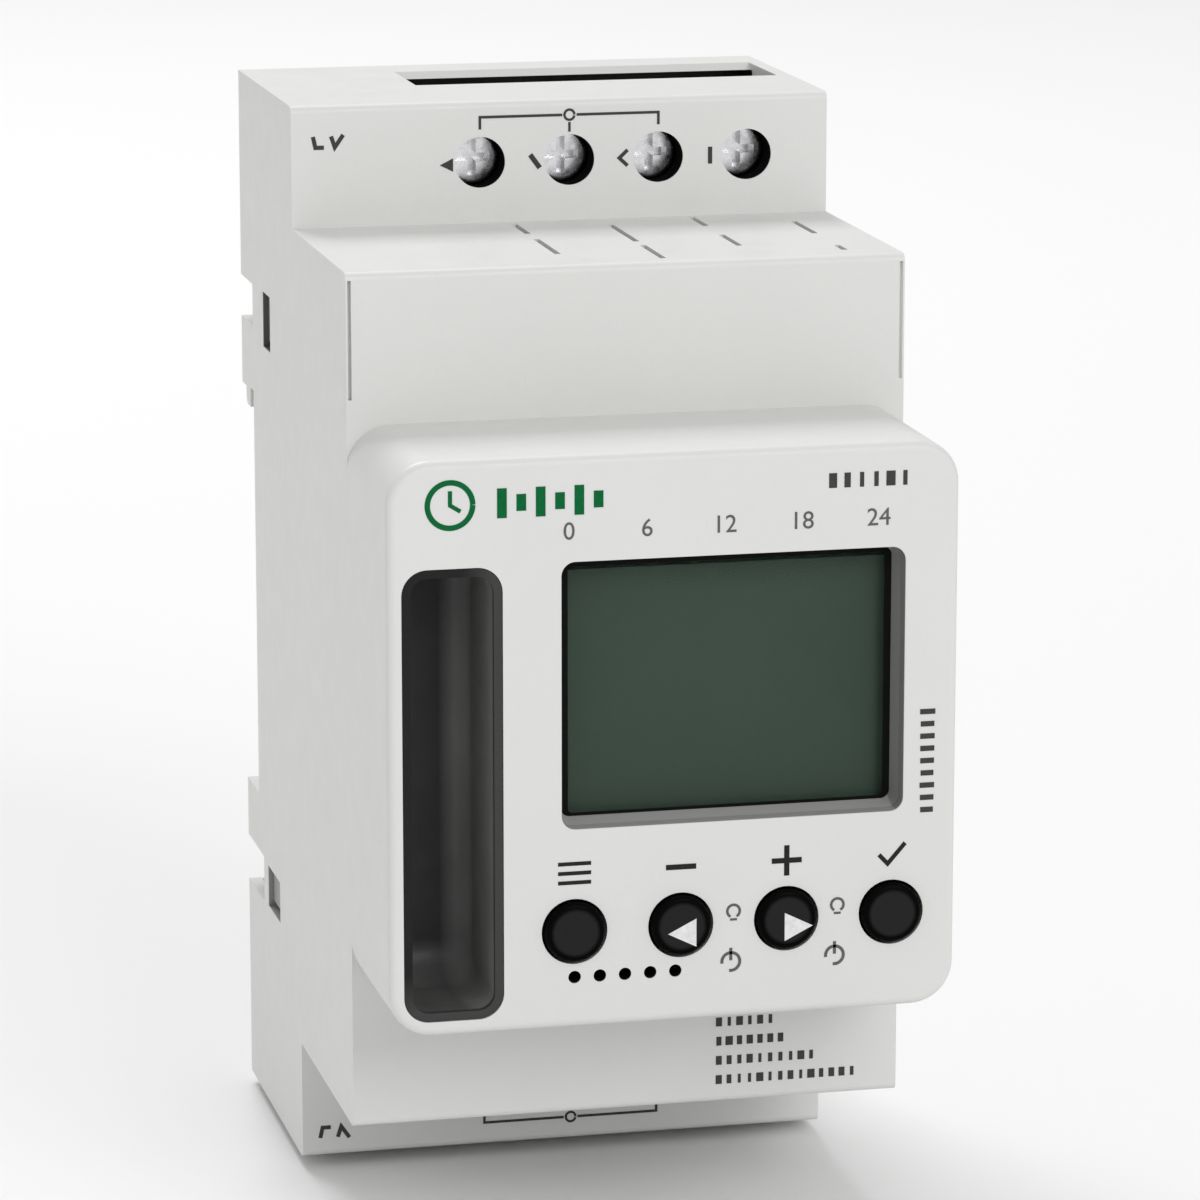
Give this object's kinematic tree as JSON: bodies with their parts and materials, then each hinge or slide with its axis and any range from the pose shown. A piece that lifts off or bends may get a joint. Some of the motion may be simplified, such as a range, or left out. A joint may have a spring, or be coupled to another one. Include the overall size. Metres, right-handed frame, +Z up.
{
  "type": "din rail timer",
  "caption": "Digital time switch for a rail: stepped grey housing with a display, round push buttons, a key slot, screw terminals and a sprung rail latch.",
  "frame": {"origin": "middle of the plane that rests on the rail flanges", "axes": "+X to the right as seen from the front, +Z up, the front looks along -Y and +Y points into the rail"},
  "size_m": [0.045, 0.066, 0.09],
  "materials": {
    "housing_plastic": "fine matt moulded, light grey",
    "latch_plastic": "smooth moulded, light grey",
    "black_plastic": "satin moulded, black",
    "white_frame": "smooth moulded, white",
    "terminal_plastic": "smooth moulded, black",
    "clear_window": "clear, polished",
    "lcd_glass": "dark grey-green reflective display, blank",
    "light_guide": "clear light guide with a matt back",
    "conductive_rubber": "striped silicone",
    "circuit_board": "green solder resist",
    "relay_case": "black moulded case",
    "capacitor_case": "ochre moulded case",
    "capacitor_sleeve": "dark shrink sleeve over an aluminium can",
    "varistor_epoxy": "blue epoxy",
    "resistor_coat": "grey-green cement coat",
    "battery_steel": "nickel plated",
    "chip_epoxy": "black epoxy",
    "spring_steel": "drawn spring steel",
    "zinc_steel": "bright zinc plated",
    "contact_copper": "tinned copper alloy"
  },
  "bodies": {
    "housing": {"battery": "battery_steel", "battery_clip": "spring_steel", "board_screws": "zinc_steel", "contact_bars_lower": "contact_copper", "contact_bars_upper": "contact_copper", "crystal": "battery_steel", "display_board": "circuit_board", "display_window": "clear_window", "filter_capacitor": "capacitor_case", "fuse_resistor": "resistor_coat", "housing_base": "housing_plastic", "housing_cover": "housing_plastic", "key_slot_liner": "black_plastic", "latch_spring": "spring_steel", "lcd_backlight": "light_guide", "lcd_holder": "white_frame", "lcd_panel": "lcd_glass", "link_board": "circuit_board", "microcontroller": "chip_epoxy", "pin_headers": "black_plastic", "power_board": "circuit_board", "relay_one": "relay_case", "relay_two": "relay_case", "smoothing_capacitor": "capacitor_sleeve", "tact_switches": "black_plastic", "terminal_block_lower": "terminal_plastic", "terminal_block_upper": "terminal_plastic", "varistor": "varistor_epoxy", "zebra_strips": "conductive_rubber"},
    "latch": {"rail_latch": "latch_plastic"},
    "menu_key": {"button_menu": "black_plastic", "plunger_menu": "white_frame"},
    "minus_key": {"button_minus": "black_plastic", "plunger_minus": "white_frame"},
    "plus_key": {"button_plus": "black_plastic", "plunger_plus": "white_frame"},
    "ok_key": {"button_ok": "black_plastic", "plunger_ok": "white_frame"},
    "screw_1": {"terminal_screw_1": "zinc_steel"},
    "cage_1": {"clamp_cage_1": "zinc_steel"},
    "screw_2": {"terminal_screw_2": "zinc_steel"},
    "cage_2": {"clamp_cage_2": "zinc_steel"},
    "screw_3": {"terminal_screw_3": "zinc_steel"},
    "cage_3": {"clamp_cage_3": "zinc_steel"},
    "screw_4": {"terminal_screw_4": "zinc_steel"},
    "cage_4": {"clamp_cage_4": "zinc_steel"},
    "screw_5": {"terminal_screw_5": "zinc_steel"},
    "cage_5": {"clamp_cage_5": "zinc_steel"},
    "screw_6": {"terminal_screw_6": "zinc_steel"},
    "cage_6": {"clamp_cage_6": "zinc_steel"},
    "screw_7": {"terminal_screw_7": "zinc_steel"},
    "cage_7": {"clamp_cage_7": "zinc_steel"},
    "screw_8": {"terminal_screw_8": "zinc_steel"},
    "cage_8": {"clamp_cage_8": "zinc_steel"}
  },
  "joints": [
    {"name": "latch_slide", "type": "slide", "parent": "housing", "child": "latch", "axis": [0, 0, -1], "range_m": [0, 0.003], "stiffness_N_per_m": 600, "springref_m": -0.01, "deforming": ["latch_spring"]},
    {"name": "menu_press", "type": "slide", "parent": "housing", "child": "menu_key", "axis": [0, 1, 0], "range_m": [0, 0.0006], "stiffness_N_per_m": 600, "springref_m": -0.002},
    {"name": "minus_press", "type": "slide", "parent": "housing", "child": "minus_key", "axis": [0, 1, 0], "range_m": [0, 0.0006], "stiffness_N_per_m": 600, "springref_m": -0.002},
    {"name": "plus_press", "type": "slide", "parent": "housing", "child": "plus_key", "axis": [0, 1, 0], "range_m": [0, 0.0006], "stiffness_N_per_m": 600, "springref_m": -0.002},
    {"name": "ok_press", "type": "slide", "parent": "housing", "child": "ok_key", "axis": [0, 1, 0], "range_m": [0, 0.0006], "stiffness_N_per_m": 600, "springref_m": -0.002},
    {"name": "screw_1_turn", "type": "hinge", "parent": "housing", "child": "screw_1", "pos_m": [-0.00685, -0.0152, 0.0395], "axis": [0, 1, 0], "range_deg": [0, 2165]},
    {"name": "cage_1_lift", "type": "slide", "parent": "housing", "child": "cage_1", "axis": [0, -1, 0], "range_m": [0, 0.003]},
    {"name": "screw_2_turn", "type": "hinge", "parent": "housing", "child": "screw_2", "pos_m": [0.00065, -0.0152, 0.0395], "axis": [0, 1, 0], "range_deg": [0, 2165]},
    {"name": "cage_2_lift", "type": "slide", "parent": "housing", "child": "cage_2", "axis": [0, -1, 0], "range_m": [0, 0.003]},
    {"name": "screw_3_turn", "type": "hinge", "parent": "housing", "child": "screw_3", "pos_m": [0.00815, -0.0152, 0.0395], "axis": [0, 1, 0], "range_deg": [0, 2165]},
    {"name": "cage_3_lift", "type": "slide", "parent": "housing", "child": "cage_3", "axis": [0, -1, 0], "range_m": [0, 0.003]},
    {"name": "screw_4_turn", "type": "hinge", "parent": "housing", "child": "screw_4", "pos_m": [0.01565, -0.0152, 0.0395], "axis": [0, 1, 0], "range_deg": [0, 2165]},
    {"name": "cage_4_lift", "type": "slide", "parent": "housing", "child": "cage_4", "axis": [0, -1, 0], "range_m": [0, 0.003]},
    {"name": "screw_5_turn", "type": "hinge", "parent": "housing", "child": "screw_5", "pos_m": [-0.00685, -0.0152, -0.0395], "axis": [0, 1, 0], "range_deg": [0, 2165]},
    {"name": "cage_5_lift", "type": "slide", "parent": "housing", "child": "cage_5", "axis": [0, -1, 0], "range_m": [0, 0.003]},
    {"name": "screw_6_turn", "type": "hinge", "parent": "housing", "child": "screw_6", "pos_m": [0.00065, -0.0152, -0.0395], "axis": [0, 1, 0], "range_deg": [0, 2165]},
    {"name": "cage_6_lift", "type": "slide", "parent": "housing", "child": "cage_6", "axis": [0, -1, 0], "range_m": [0, 0.003]},
    {"name": "screw_7_turn", "type": "hinge", "parent": "housing", "child": "screw_7", "pos_m": [0.00815, -0.0152, -0.0395], "axis": [0, 1, 0], "range_deg": [0, 2165]},
    {"name": "cage_7_lift", "type": "slide", "parent": "housing", "child": "cage_7", "axis": [0, -1, 0], "range_m": [0, 0.003]},
    {"name": "screw_8_turn", "type": "hinge", "parent": "housing", "child": "screw_8", "pos_m": [0.01565, -0.0152, -0.0395], "axis": [0, 1, 0], "range_deg": [0, 2165]},
    {"name": "cage_8_lift", "type": "slide", "parent": "housing", "child": "cage_8", "axis": [0, -1, 0], "range_m": [0, 0.003]}
  ],
  "couplings": [
    {"joint": "screw_1_turn", "follows": "cage_1_lift", "rad_per_m": 12566},
    {"joint": "screw_2_turn", "follows": "cage_2_lift", "rad_per_m": 12566},
    {"joint": "screw_3_turn", "follows": "cage_3_lift", "rad_per_m": 12566},
    {"joint": "screw_4_turn", "follows": "cage_4_lift", "rad_per_m": 12566},
    {"joint": "screw_5_turn", "follows": "cage_5_lift", "rad_per_m": 12566},
    {"joint": "screw_6_turn", "follows": "cage_6_lift", "rad_per_m": 12566},
    {"joint": "screw_7_turn", "follows": "cage_7_lift", "rad_per_m": 12566},
    {"joint": "screw_8_turn", "follows": "cage_8_lift", "rad_per_m": 12566}
  ]
}
